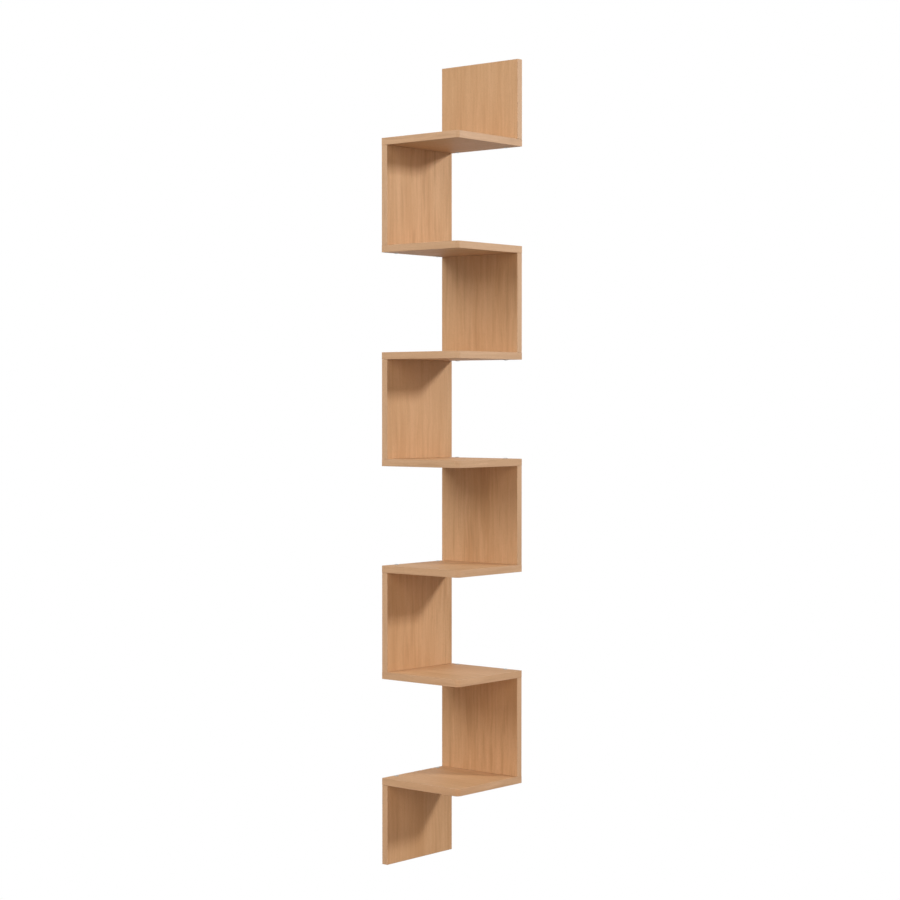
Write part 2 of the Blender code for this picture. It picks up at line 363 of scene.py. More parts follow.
def new_material(name):
    """A material, its tree and its shader."""
    material = bpy.data.materials.new(name)
    material.use_nodes = True
    return material, material.node_tree, material.node_tree.nodes["Principled BSDF"]


# Finishes

def grain_place(tree):
    """A point's place along the grain, across it and through the board, as stored on the piece."""
    return add_node(tree, "ShaderNodeAttribute", {"attribute_name": "grain"}).outputs["Vector"]


def swayed(tree, grain):
    """Places in the decor, with the figure swaying a few millimetres across the grain."""
    sway = noise(tree, stretched(tree, grain, *SWAY_CELLS), detail=1.0)
    aside = spread(tree, sway, *SWAY_RANGE, -FIGURE_SWAY, FIGURE_SWAY)
    return moved(tree, grain, add_node(tree, "ShaderNodeCombineXYZ", Y=aside).outputs[0])


def fleck_places(tree, grain):
    """Places in columns one fleck wide, each column slipped along the grain so that no rows show."""
    place = add_node(tree, "ShaderNodeSeparateXYZ", Vector=stretched(tree, grain, *FLECK_CELLS))
    column = calculate(tree, "FLOOR", place.outputs["Y"])
    slip = add_node(tree, "ShaderNodeTexWhiteNoise", {"noise_dimensions": "1D"}, W=column)
    along = calculate(tree, "ADD", place.outputs["X"], slip.outputs["Value"])
    return add_node(tree, "ShaderNodeCombineXYZ", X=along, Y=place.outputs["Y"]).outputs[0]


def beech_flecks(tree, grain):
    """Short flecks, 1 inside and 0 outside. Only some of the cells have one."""
    cells = add_node(tree, "ShaderNodeTexVoronoi", {"voronoi_dimensions": "2D"},
                     Vector=fleck_places(tree, grain), Scale=1.0)
    inside = spread(tree, cells.outputs["Distance"], *FLECK_EDGE, 1.0, 0.0)
    return calculate(tree, "MULTIPLY", inside, spread(tree, drawn_value(tree, cells), *FLECK_DRAWN))


def beech_print(tree, grain, light, dark):
    """Colour, fibre and flecks of printed beech. grain is the place along and across the grain."""
    figure = swayed(tree, grain)
    patches = noise(tree, stretched(tree, figure, *PATCH_CELLS), detail=1.0)
    streaks = noise(tree, stretched(tree, figure, *STREAK_CELLS), detail=3.0,
                    roughness=STREAK_ROUGHNESS)
    rest = calculate(tree, "MULTIPLY", streaks, 1.0 - PATCH_SHARE)
    tone = calculate(tree, "MULTIPLY_ADD", patches, PATCH_SHARE, rest)
    colour = blend_colours(tree, spread(tree, tone, *TONE_RANGE, 1.0, 0.0), light, dark)

    strokes = noise(tree, stretched(tree, figure, *STROKE_CELLS))
    richness = noise(tree, stretched(tree, grain, *FULLNESS_CELLS), detail=1.0)
    fullness = spread(tree, richness, *FULLNESS_RANGE, FULLNESS_LEAST, 1.0)
    deep = spread(tree, strokes, *DEEP_STROKE_RANGE, 0.0, DEEP_STROKE_STRENGTH)
    deep_share = calculate(tree, "MULTIPLY", deep, fullness)
    colour = blend_colours(tree, deep_share, colour, toned(dark, DEEP_STROKE_TONE))
    pale = spread(tree, strokes, *PALE_STROKE_RANGE, PALE_STROKE_STRENGTH, 0.0)
    pale_share = calculate(tree, "MULTIPLY", pale, fullness)
    colour = blend_colours(tree, pale_share, colour, toned(light, PALE_STROKE_TONE))

    fibre = noise(tree, stretched(tree, grain, *FIBRE_CELLS))
    colour = blend_colours(tree, spread(tree, fibre, *FIBRE_RANGE, 0.0, FIBRE_STRENGTH), colour, dark)
    flecks = beech_flecks(tree, grain)
    fleck_share = calculate(tree, "MULTIPLY", flecks, FLECK_STRENGTH)
    colour = blend_colours(tree, fleck_share, colour, toned(dark, FLECK_TONE))
    return colour, fibre, flecks


def decor_material(name, light, dark, roughness, gloss, pore_depth):
    """Printed beech under a clear satin coat, with shallow pores along the grain."""
    material, tree, shader = new_material(name)
    shader.inputs["Specular IOR Level"].default_value = gloss
    colour, fibre, flecks = beech_print(tree, grain_place(tree), light, dark)
    tree.links.new(colour, shader.inputs["Base Color"])
    rough = spread(tree, fibre, *FIBRE_FEEL_RANGE, roughness - FIBRE_ROUGHNESS,
                   roughness + FIBRE_ROUGHNESS)
    rough = calculate(tree, "MULTIPLY_ADD", flecks, FLECK_ROUGHNESS, rough)
    tree.links.new(rough, shader.inputs["Roughness"])
    height = calculate(tree, "MULTIPLY_ADD", flecks, FLECK_HEIGHT, fibre)
    tree.links.new(bumped(tree, height, pore_depth, PORE_STRENGTH), shader.inputs["Normal"])
    return material


def chips(tree, grain, cells):
    """Random value and distance from the middle of pressed chips."""
    pattern = add_node(tree, "ShaderNodeTexVoronoi", Scale=1.0, Vector=stretched(tree, grain, *cells))
    return drawn_value(tree, pattern), pattern.outputs["Distance"]


def chip_colour(tree, chip):
    """The tone of a chip, by its random value."""
    ramp = add_node(tree, "ShaderNodeValToRGB", Fac=chip)
    elements = ramp.color_ramp.elements
    while len(elements) < len(CHIP_TONES):
        elements.new(1.0)
    for element, place, tone in zip(list(elements), CHIP_TONE_PLACES, CHIP_TONES):
        element.position = place
        element.color = (*tone, 1.0)
    return ramp.outputs["Color"]


def chipboard_material():
    """Raw chipboard: fine pressed chips near the faces and coarser ones in the core."""
    material, tree, shader = new_material("raw_chipboard")
    grain = grain_place(tree)
    depth = add_node(tree, "ShaderNodeSeparateXYZ", Vector=grain).outputs["Z"]
    skin = spread(tree, calculate(tree, "ABSOLUTE", depth), *SKIN_DEPTH)
    core_chip, core_edge = chips(tree, grain, CORE_CHIP_CELLS)
    skin_chip, skin_edge = chips(tree, grain, SKIN_CHIP_CELLS)
    chip = blend_values(tree, skin, core_chip, skin_chip)
    gaps = spread(tree, blend_values(tree, skin, core_edge, skin_edge), *CHIP_GAP_RANGE)
    shade = calculate(tree, "MULTIPLY", gaps, CHIP_GAP_SHADE)
    colour = blend_colours(tree, shade, chip_colour(tree, chip), CHIP_TONES[0])
    tree.links.new(colour, shader.inputs["Base Color"])
    tree.links.new(spread(tree, chip, 0.0, 1.0, *CHIP_ROUGHNESS), shader.inputs["Roughness"])
    height = calculate(tree, "MULTIPLY_ADD", gaps, CHIP_GAP_HEIGHT, chip)
    tree.links.new(bumped(tree, height, CHIP_DEPTH, CHIP_STRENGTH), shader.inputs["Normal"])
    return material


def screw_material():
    """Bright zinc plating with faint cloudy patches and fine grit."""
    material, tree, shader = new_material("zinc_plated_screw")
    clouds = even_noise(tree, SCREW_CLOUD_CELLS, detail=3.0)
    worn = toned(SCREW_ZINC, SCREW_CLOUD_TONE)
    colour = blend_colours(tree, spread(tree, clouds, *SCREW_CLOUD_RANGE), SCREW_ZINC, worn)
    tree.links.new(colour, shader.inputs["Base Color"])
    shader.inputs["Metallic"].default_value = 1.0
    rough = spread(tree, clouds, *SCREW_ROUGHNESS_RANGE, *SCREW_ROUGHNESS)
    tree.links.new(rough, shader.inputs["Roughness"])
    grit = even_noise(tree, SCREW_GRIT_CELLS, detail=2.0)
    tree.links.new(bumped(tree, grit, SCREW_GRIT_DEPTH, GRIT_STRENGTH), shader.inputs["Normal"])
    return material


def hanger_material():
    """Dull zinc die-casting, faintly clouded."""
    material, tree, shader = new_material("zinc_hanger")
    clouds = spread(tree, even_noise(tree, HANGER_CLOUD_CELLS, detail=4.0), *HANGER_CLOUD_RANGE)
    colour = blend_colours(tree, clouds, HANGER_ZINC, toned(HANGER_ZINC, HANGER_CLOUD_TONE))
    tree.links.new(colour, shader.inputs["Base Color"])
    shader.inputs["Metallic"].default_value = 1.0
    tree.links.new(spread(tree, clouds, 0.0, 1.0, *HANGER_ROUGHNESS), shader.inputs["Roughness"])
    grit = even_noise(tree, HANGER_GRIT_CELLS, detail=3.0)
    tree.links.new(bumped(tree, grit, HANGER_GRIT_DEPTH, GRIT_STRENGTH), shader.inputs["Normal"])
    return material


# Geometry Nodes

FLOAT = "NodeSocketFloat"
VECTOR = "NodeSocketVector"
COUNT = "NodeSocketInt"
OBJECT = "NodeSocketObject"
MATERIAL = "NodeSocketMaterial"
GEOMETRY = "NodeSocketGeometry"


def new_tree(name, inputs):
    """A tree from geometry to geometry with more named inputs, its given sockets and its result."""
    tree = bpy.data.node_groups.new(name, "GeometryNodeTree")
    tree.interface.new_socket("Geometry", in_out="INPUT", socket_type=GEOMETRY)
    tree.interface.new_socket("Geometry", in_out="OUTPUT", socket_type=GEOMETRY)
    for label, kind in inputs.items():
        tree.interface.new_socket(label, in_out="INPUT", socket_type=kind)
    given = {socket.name: socket for socket in tree.nodes.new("NodeGroupInput").outputs}
    result = tree.nodes.new("NodeGroupOutput").inputs["Geometry"]
    return tree, given, result


def finished_in(tree, geometry, material):
    """Geometry with its material set."""
    return add_node(tree, "GeometryNodeSetMaterial", Geometry=geometry, Material=material).outputs[0]


def end_tree(tree, geometry, material, result):
    """Every tree ends in real geometry with its material set."""
    real = add_node(tree, "GeometryNodeRealizeInstances", Geometry=geometry)
    tree.links.new(finished_in(tree, real.outputs[0], material), result)


def welded(tree, geometry):
    """Geometry with the points that lie on each other made one."""
    node = add_node(tree, "GeometryNodeMergeByDistance", Geometry=geometry, Distance=SAME_POINT)
    return node.outputs[0]


def edge_band_tree():
    """A band along a path in the XY plane: its outer face on the path, its width up from it."""
    tree, given, result = new_tree("edge_band", {
        "Thickness": FLOAT, "Width": FLOAT, "Rounding": FLOAT, "Rounding Steps": COUNT,
        "Corner Radius": FLOAT, "Corner Steps": COUNT, "Place in Decor": VECTOR, "Material": MATERIAL})
    line = add_node(tree, "GeometryNodeMeshToCurve", Mesh=given["Geometry"])
    path = add_node(tree, "GeometryNodeFilletCurve", {"mode": "POLY"}, Curve=line.outputs[0],
                    Count=given["Corner Steps"], Radius=given["Corner Radius"])
    upright = add_node(tree, "GeometryNodeSetCurveNormal", {"mode": "Z_UP"}, Curve=path.outputs[0])
    along = tree.nodes.new("GeometryNodeSplineParameter").outputs["Length"]
    measured = add_node(tree, "GeometryNodeStoreNamedAttribute", Geometry=upright.outputs[0],
                        Name="along", Value=along)

    strip = add_node(tree, "GeometryNodeCurvePrimitiveQuadrilateral", Width=given["Thickness"],
                     Height=given["Width"])
    place = tree.nodes.new("GeometryNodeInputPosition").outputs[0]
    sides = add_node(tree, "ShaderNodeSeparateXYZ", Vector=place)
    outer = calculate(tree, "GREATER_THAN", sides.outputs["X"], 0.0)
    rounded = add_node(tree, "GeometryNodeFilletCurve", {"mode": "POLY"}, Curve=strip.outputs[0],
                       Count=given["Rounding Steps"],
                       Radius=calculate(tree, "MULTIPLY", outer, given["Rounding"]))
    inwards = calculate(tree, "MULTIPLY", given["Thickness"], -0.5)
    upwards = calculate(tree, "MULTIPLY", given["Width"], -0.5)
    shift = add_node(tree, "ShaderNodeCombineXYZ", X=inwards, Y=upwards)
    section = add_node(tree, "GeometryNodeTransform", Geometry=rounded.outputs[0],
                       Translation=shift.outputs[0])
    scaled = add_node(tree, "GeometryNodeStoreNamedAttribute", Geometry=section.outputs[0],
                      Name="across", Value=sides.outputs["Y"])

    swept = add_node(tree, "GeometryNodeCurveToMesh", Curve=measured.outputs[0],
                     Profile_Curve=scaled.outputs[0], Fill_Caps=True)
    on_band = add_node(tree, "ShaderNodeCombineXYZ",
                       X=add_node(tree, "GeometryNodeInputNamedAttribute", Name="along").outputs[0],
                       Y=add_node(tree, "GeometryNodeInputNamedAttribute", Name="across").outputs[0])
    printed = add_node(tree, "GeometryNodeStoreNamedAttribute", {"data_type": "FLOAT_VECTOR"},
                       Geometry=welded(tree, swept.outputs[0]), Name="grain",
                       Value=moved(tree, on_band.outputs[0], given["Place in Decor"]))
    end_tree(tree, printed.outputs[0], given["Material"], result)
    return tree


def turned_tree():
    """A line of (radius, height) points turned about Z."""
    tree, given, result = new_tree("turned", {"Sides": COUNT, "Material": MATERIAL})
    # The section is set back by the ring's radius, so any radius does
    ring_radius = 0.01
    line = add_node(tree, "GeometryNodeMeshToCurve", Mesh=given["Geometry"])
    place = tree.nodes.new("GeometryNodeInputPosition").outputs[0]
    sides = add_node(tree, "ShaderNodeSeparateXYZ", Vector=place)
    outwards = calculate(tree, "SUBTRACT", sides.outputs["X"], ring_radius)
    downwards = calculate(tree, "MULTIPLY", sides.outputs["Z"], -1.0)
    flat = add_node(tree, "ShaderNodeCombineXYZ", X=outwards, Y=downwards)
    section = add_node(tree, "GeometryNodeSetPosition", Geometry=line.outputs[0],
                       Position=flat.outputs[0])
    ring = add_node(tree, "GeometryNodeCurvePrimitiveCircle", Resolution=given["Sides"],
                    Radius=ring_radius)
    level = add_node(tree, "GeometryNodeSetCurveNormal", {"mode": "Z_UP"}, Curve=ring.outputs[0])
    swept = add_node(tree, "GeometryNodeCurveToMesh", Curve=level.outputs[0],
                     Profile_Curve=section.outputs[0])
    end_tree(tree, welded(tree, swept.outputs[0]), given["Material"], result)
    return tree


def threaded_screw_tree():
    """A turned screw body with a hexagon socket cut in its head and a thread wound on its core."""
    tree, given, result = new_tree("threaded_screw", {
        "Socket Radius": FLOAT, "Socket Depth": FLOAT, "Head Height": FLOAT, "Thread Radius": FLOAT,
        "Thread Height": FLOAT, "Thread Start": FLOAT, "Thread Length": FLOAT, "Thread Pitch": FLOAT,
        "Thread Steps": COUNT, "Material": MATERIAL})
    # Half of the hexagon stands above the head
    hexagon = add_node(tree, "GeometryNodeMeshCylinder", Vertices=SOCKET_SIDES,
                       Radius=given["Socket Radius"],
                       Depth=calculate(tree, "MULTIPLY", given["Socket Depth"], 2.0))
    lift = add_node(tree, "ShaderNodeCombineXYZ", Z=given["Head Height"])
    plated_hexagon = finished_in(tree, hexagon.outputs["Mesh"], given["Material"])
    socket = add_node(tree, "GeometryNodeTransform", Geometry=plated_hexagon,
                      Translation=lift.outputs[0])
    body = add_node(tree, "GeometryNodeMeshBoolean", {"operation": "DIFFERENCE", "solver": "EXACT"},
                    Mesh_1=given["Geometry"], Mesh_2=socket.outputs[0])

    turns = calculate(tree, "DIVIDE", given["Thread Length"], given["Thread Pitch"])
    helix = add_node(tree, "GeometryNodeCurveSpiral", Resolution=given["Thread Steps"], Rotations=turns,
                     Start_Radius=given["Thread Radius"], End_Radius=given["Thread Radius"],
                     Height=given["Thread Length"], Reverse=True)
    level = add_node(tree, "GeometryNodeSetCurveNormal", {"mode": "Z_UP"}, Curve=helix.outputs[0])
    ridge = add_node(tree, "GeometryNodeCurvePrimitiveCircle", Resolution=THREAD_RIDGE_SIDES,
                     Radius=given["Thread Height"])
    way = tree.nodes.new("GeometryNodeSplineParameter").outputs["Factor"]
    grown = spread(tree, way, 0.0, THREAD_GROWN_AT, THREAD_END_SIZE, 1.0)
    faded = spread(tree, way, THREAD_FADES_AT, 1.0, 1.0, THREAD_END_SIZE)
    wound = add_node(tree, "GeometryNodeCurveToMesh", Curve=level.outputs[0],
                     Profile_Curve=ridge.outputs[0], Fill_Caps=True,
                     Scale=calculate(tree, "MULTIPLY", grown, faded))
    foot = calculate(tree, "SUBTRACT", given["Thread Start"], given["Thread Length"])
    drop = add_node(tree, "ShaderNodeCombineXYZ", Z=foot)
    plated_ridge = finished_in(tree, wound.outputs[0], given["Material"])
    thread = add_node(tree, "GeometryNodeTransform", Geometry=plated_ridge, Translation=drop.outputs[0])

    both = add_node(tree, "GeometryNodeJoinGeometry")
    tree.links.new(thread.outputs[0], both.inputs[0])
    tree.links.new(welded(tree, body.outputs[0]), both.inputs[0])
    end_tree(tree, both.outputs[0], given["Material"], result)
    return tree


def set_in_places_tree():
    """One shape set at every point, turned by the point's own rotation."""
    tree, given, result = new_tree("set_in_places", {"Shape": OBJECT, "Material": MATERIAL})
    shape = add_node(tree, "GeometryNodeObjectInfo", Object=given["Shape"])
    turn = add_node(tree, "GeometryNodeInputNamedAttribute", {"data_type": "FLOAT_VECTOR"}, Name="turn")
    rotation = add_node(tree, "FunctionNodeEulerToRotation", Euler=turn.outputs[0])
    placed = add_node(tree, "GeometryNodeInstanceOnPoints", Points=given["Geometry"],
                      Instance=shape.outputs["Geometry"], Rotation=rotation.outputs[0])
    end_tree(tree, placed.outputs[0], given["Material"], result)
    return tree


# Objects and meshes

def linked(name, data):
    """A new object in the scene."""
    obj = bpy.data.objects.new(name, data)
    bpy.context.scene.collection.objects.link(obj)
    return obj


def made_plain(obj):
    """An object's mesh with its modifiers applied. The object is removed."""
    graph = bpy.context.evaluated_depsgraph_get()
    mesh = bpy.data.meshes.new_from_object(obj.evaluated_get(graph), preserve_all_data_layers=True,
                                           depsgraph=graph)
    bpy.data.objects.remove(obj, do_unlink=True)
    return mesh


def grow(mesh, tree, **inputs):
    """The plain mesh that a tree makes of a mesh, with the tree's inputs given by name."""
    blank = linked(mesh.name, mesh)
    modifier = blank.modifiers.new(tree.name, "NODES")
    modifier.node_group = tree
    sockets = [item for item in tree.interface.items_tree if item.in_out == "INPUT"]
    identifiers = {item.name: item.identifier for item in sockets}
    for label, value in inputs.items():
        modifier[identifiers[label.replace("_", " ")]] = value
    return made_plain(blank)


@contextmanager
def edited(mesh):
    """A mesh open for edits, which are written back to it."""
    bm = bmesh.new()
    bm.from_mesh(mesh)
    yield bm
    bm.to_mesh(mesh)
    bm.free()


def line_mesh(name, points):
    """Points joined by a line."""
    mesh = bpy.data.meshes.new(name)
    steps = [(i, i + 1) for i in range(len(points) - 1)]
    mesh.from_pydata(points, steps, [])
    return mesh


def places_mesh(name, places):
    """Points with a turn each, for a shape that is set at every one."""
    mesh = bpy.data.meshes.new(name)
    mesh.from_pydata([point for point, _ in places], [], [])
    turns = mesh.attributes.new("turn", "FLOAT_VECTOR", "POINT")
    for value, (_, turn) in zip(turns.data, places):
        value.vector = turn
    return mesh


def facing_out(mesh):
    """The mesh, with its faces turned round if they point inwards."""
    with edited(mesh) as bm:
        if bm.calc_volume(signed=True) < 0:
            bmesh.ops.reverse_faces(bm, faces=bm.faces)
    return mesh


def without_slivers(mesh):
    """The mesh, after the slivers that a cut can leave along its line are taken out."""
    with edited(mesh) as bm:
        bmesh.ops.dissolve_degenerate(bm, dist=SAME_POINT, edges=bm.edges)
    return mesh


def without_hub(mesh):
    """A turned mesh, with the triangles round each point on its axis joined into one flat face."""
    with edited(mesh) as bm:
        hub = [vertex for vertex in bm.verts if vertex.co.xy.length < SAME_POINT]
        bmesh.ops.dissolve_verts(bm, verts=hub)
    return mesh


def joined(meshes):
    """Several meshes of one material as one mesh."""
    with edited(meshes[0]) as bm:
        for mesh in meshes[1:]:
            bm.from_mesh(mesh)
    return meshes[0]


def turned(name, profile, sides, material):
    """A solid turned from (radius, height) points."""
    line = line_mesh(name, [(radius, 0.0, height) for radius, height in profile])
    return facing_out(grow(line, TURNED, Sides=sides, Material=material))


def cut_out(mesh, cutter_mesh):
    """A mesh with another one cut out of it. Each keeps its own material."""
    cutter = linked(cutter_mesh.name, cutter_mesh)
    blank = linked(mesh.name, mesh)
    cut = blank.modifiers.new("cut", "BOOLEAN")
    cut.operation = "DIFFERENCE"
    cut.material_mode = "TRANSFER"
    cut.object = cutter
    result = made_plain(blank)
    bpy.data.objects.remove(cutter, do_unlink=True)
    return without_slivers(result)


def set_in_places(name, places, shape_mesh, material):
    """Copies of a mesh at the places, as one mesh."""
    shape = linked(shape_mesh.name, shape_mesh)
    result = grow(places_mesh(name, places), SET_IN_PLACES, Shape=shape, Material=material)
    bpy.data.objects.remove(shape, do_unlink=True)
    return result


def add_piece(name, mesh, slot, *nodes):
    """A finished piece, shaded flat on its flats and smooth round its edges, in place of its solids."""
    mesh.shade_smooth()
    mesh.set_sharp_from_angle(angle=SMOOTH_BELOW)
    shaded = linked(mesh.name, mesh)
    weighted = shaded.modifiers.new("flat faces", "WEIGHTED_NORMAL")
    weighted.keep_sharp = True
    finished = made_plain(shaded)
    finished.name = name
    piece = linked(name, finished)
    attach(piece, "root")
    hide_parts(*nodes)


def middle_of(node):
    """The middle of a solid's box."""
    low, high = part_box(node)
    return (low + high) / 2


def reach_of(node, direction):
    """How far a solid's box goes from the origin along an axis."""
    return max(direction.dot(corner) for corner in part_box(node))


# Boards

def wall_axes(upright):
    """Directions along the upright's wall from the room's corner, and out from the wall."""
    if upright % 2:
        return ALONG_RIGHT_WALL, ALONG_LEFT_WALL
    return ALONG_LEFT_WALL, ALONG_RIGHT_WALL


def decor_place(number):
    """Where in the printed decor a board or band is cut from."""
    return Vector((DECOR_STEP_ALONG * number, DECOR_STEP_ACROSS * number, 0.0))


def board_blank(node, through, corner_radius=0.0):
    """A board with its fine arris, decor on its two faces and bare chipboard on its edges."""
    low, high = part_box(node)
    mesh = bpy.data.meshes.new(node)
    with edited(mesh) as bm:
        bmesh.ops.create_cube(bm, size=1.0)
        bmesh.ops.scale(bm, vec=high - low, verts=bm.verts)
        bmesh.ops.translate(bm, vec=middle_of(node), verts=bm.verts)
        if corner_radius:
            outer = Vector((high.x, low.y))
            corner = min(bm.edges, key=lambda edge: max((v.co.xy - outer).length for v in edge.verts))
            bmesh.ops.bevel(bm, geom=[corner], offset=corner_radius, segments=CORNER_STEPS, profile=0.5,
                            affect="EDGES")
        arrises = [edge for edge in bm.edges if edge.calc_face_angle() > SMOOTH_BELOW]
        bmesh.ops.bevel(bm, geom=arrises, offset=ARRIS, segments=ARRIS_STEPS, profile=0.5,
                        affect="EDGES")
        bm.normal_update()
        for face in bm.faces:
            face.material_index = 0 if abs(face.normal.dot(through)) > DECOR_COSINE else 1
    mesh.materials.append(BEECH)
    mesh.materials.append(CHIPBOARD)
    return mesh


def lay_grain(mesh, node, along, across, through, number):
    """Stores each point's place along the grain, across it and through the board's thickness."""
    middle = middle_of(node)
    shift = decor_place(number)
    grain = mesh.attributes.new("grain", "FLOAT_VECTOR", "POINT")
    for vertex, value in zip(mesh.vertices, grain.data):
        place = vertex.co - middle
        value.vector = Vector((along.dot(place), across.dot(place), through.dot(place))) + shift


def band_thickness(board, outward):
    """How far a board's edge band stands out from it."""
    return reach_of(f"{board}_edge_band", outward) - reach_of(board, outward)


def make_shelf(shelf):
    """A shelf's board, rounded at its outer corner, with the holes for its screws."""
    node = f"shelf_{shelf}"
    blank = board_blank(node, UP, SHELF_CORNER_RADIUS - band_thickness(node, ALONG_RIGHT_WALL))
    board = cut_out(blank, set_in_places(f"{node}_holes", screw_places(shelf), SCREW_HOLE, CHIPBOARD))
    lay_grain(board, node, ALONG_RIGHT_WALL, ALONG_LEFT_WALL, UP, SHELF_DECOR + shelf)
    add_piece(f"{node}_board", board, "beech_decor", node)


def make_upright(upright):
    """An upright's board, with the holes for the screws in its ends and the pocket for its hanger."""
    node = f"upright_{upright}"
    across, through = wall_axes(upright)
    holes = []
    if upright <= SHELF_COUNT:
        holes += screw_places(upright)[:SCREWS_A_JOINT]
    if upright > 1:
        holes += screw_places(upright - 1)[SCREWS_A_JOINT:]
    board = board_blank(node, through)
    board = cut_out(board, set_in_places(f"{node}_holes", holes, SCREW_HOLE, CHIPBOARD))
    for name, carrier in HANGERS.items():
        if carrier == upright:
            pocket = turned(f"{name}_pocket", pocket_profile(), HANGER_SIDES, CHIPBOARD)
            pocket.transform(hanger_place(name, upright))
            board = cut_out(board, pocket)
    lay_grain(board, node, UP, across, through, upright)
    add_piece(f"{node}_board", board, "beech_decor", node)


# Edge bands

def placed_axes(start, outward, through):
    """The frame of a band: its path along X from start, its outer face towards -Y, its width up Z."""
    run = (-outward).cross(through)
    return Matrix.Translation(start) @ Matrix((run, -outward, through)).transposed().to_4x4()


def band_strip(name, path, place, width, thickness, number, corner_radius=0.0):
    """A band along a path in its own plane, then set in its place."""
    mesh = grow(line_mesh(name, path), EDGE_BAND, Thickness=thickness, Width=width,
                Rounding=BAND_ROUNDING, Rounding_Steps=BAND_ROUNDING_STEPS, Corner_Radius=corner_radius,
                Corner_Steps=CORNER_STEPS, Place_in_Decor=decor_place(number), Material=BAND)
    mesh.transform(place)
    return facing_out(mesh)


def make_shelf_band(shelf):
    """One band along both open edges and round the outer corner."""
    board = f"shelf_{shelf}"
    node = f"{board}_edge_band"
    low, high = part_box(node)
    side = high.x - low.x
    path = [(0.0, 0.0, 0.0), (side, 0.0, 0.0), (side, side, 0.0)]
    strip = band_strip(node, path, Matrix.Translation(low), high.z - low.z,
                       band_thickness(board, ALONG_RIGHT_WALL), SHELF_BAND_DECOR + shelf,
                       SHELF_CORNER_RADIUS)
    add_piece(f"{board}_front_band", strip, "edge_band", node)


def make_upright_band(upright):
    """A band on the open edge, and one butted to it on the free end of the first and last upright."""
    board = f"upright_{upright}"
    node = f"{board}_edge_band"
    across, through = wall_axes(upright)
    low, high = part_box(node)
    reach = reach_of(node, across)
    width = reach_of(node, through)
    thickness = band_thickness(board, across)

    foot = low.z if across.x else high.z
    path = [(0.0, 0.0, 0.0), (high.z - low.z, 0.0, 0.0)]
    open_edge = placed_axes(across * reach + UP * foot, across, through)
    strips = [band_strip(node, path, open_edge, width, thickness, UPRIGHT_BAND_DECOR + upright)]
    if upright in (1, UPRIGHT_COUNT):
        outward, level = (UP, high.z) if upright == 1 else (-UP, low.z)
        end = reach - thickness - BAND_SEAM
        path = [(0.0, 0.0, 0.0), (end, 0.0, 0.0)]
        free_end = placed_axes(across * end + UP * level, outward, through)
        strips.append(band_strip(f"{node}_end", path, free_end, width, thickness,
                                 END_BAND_DECOR + upright))
    add_piece(f"{board}_front_band", joined(strips), "edge_band", node)


# Screws

def screw_nodes(shelf):
    """The solids of a shelf's screws: those up into the upright above it, then those down below it."""
    return [f"shelf_{shelf}_{joint}_screw_{place}" for joint in ("upper", "lower")
            for place in ("inner", "outer")]


def screw_places(shelf):
    """Point and turn of each of a shelf's screws, which have their heads on the shelf's faces."""
    low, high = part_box(f"shelf_{shelf}")
    places = []
    for i, node in enumerate(screw_nodes(shelf)):
        face, flip = (low.z, math.pi) if i < SCREWS_A_JOINT else (high.z, 0.0)
        axis = middle_of(node)
        turn = SCREW_TURN * (SCREWS_A_SHELF * shelf + i)
        places.append(((axis.x, axis.y, face), (flip, 0.0, turn)))
    return places


def shaft_profile(clearance):
    """Neck, shank and core below the face, or the hole for them when clearance is given."""
    shank = SHANK_DIAMETER / 2 + clearance
    core = CORE_DIAMETER / 2 + clearance
    return [
        (shank, -NECK_LENGTH),
        (shank, -SHANK_LENGTH - clearance),
        (core, -SHANK_LENGTH - clearance - (shank - core)),
        (core, -SCREW_LENGTH + TIP_LENGTH),
        (0.0, -SCREW_LENGTH - clearance),
    ]


def screw_profile():
    """From the top of the domed head, on the axis, down to the tip."""
    head = HEAD_DIAMETER / 2
    crown = HEAD_HEIGHT - HEAD_RIM_HEIGHT
    angles = [i / DOME_STEPS * math.pi / 2 for i in range(DOME_STEPS + 1)]
    dome = [(head * math.sin(angle), HEAD_RIM_HEIGHT + crown * math.cos(angle)) for angle in angles]
    neck = NECK_DIAMETER / 2
    return dome + [(head, HEAD_SEAT), (neck, HEAD_SEAT), (neck, 0.0)] + shaft_profile(0.0)


def screw_hole_profile():
    """The stepped hole for a screw, open above the shelf's face."""
    neck = NECK_DIAMETER / 2 + HOLE_CLEARANCE
    return [(0.0, CUTTER_OVERRUN), (neck, CUTTER_OVERRUN), (neck, 0.0)] + shaft_profile(HOLE_CLEARANCE)


def make_screw():
    """One assembly screw, with height 0 on the shelf's face."""
    body = turned("screw", screw_profile(), TURNED_SIDES, SCREW_METAL)
    thread_start = -SHANK_LENGTH - (SHANK_DIAMETER - CORE_DIAMETER) / 2
    thread_length = SCREW_LENGTH - TIP_LENGTH / 2 + thread_start
    return grow(body, THREADED_SCREW, Socket_Radius=SOCKET_ACROSS_FLATS / math.sqrt(3),
                Socket_Depth=SOCKET_DEPTH, Head_Height=HEAD_HEIGHT, Thread_Radius=CORE_DIAMETER / 2,
                Thread_Height=THREAD_HEIGHT, Thread_Start=thread_start, Thread_Length=thread_length,
                Thread_Pitch=THREAD_PITCH, Thread_Steps=THREAD_STEPS, Material=SCREW_METAL)


def make_screws(shelf):
    """The four screws of a shelf."""
    mesh = set_in_places(f"shelf_{shelf}_screws", screw_places(shelf), SCREW, SCREW_METAL)
    add_piece(f"shelf_{shelf}_screws", mesh, "screw_zinc", *screw_nodes(shelf))


# Wall hangers

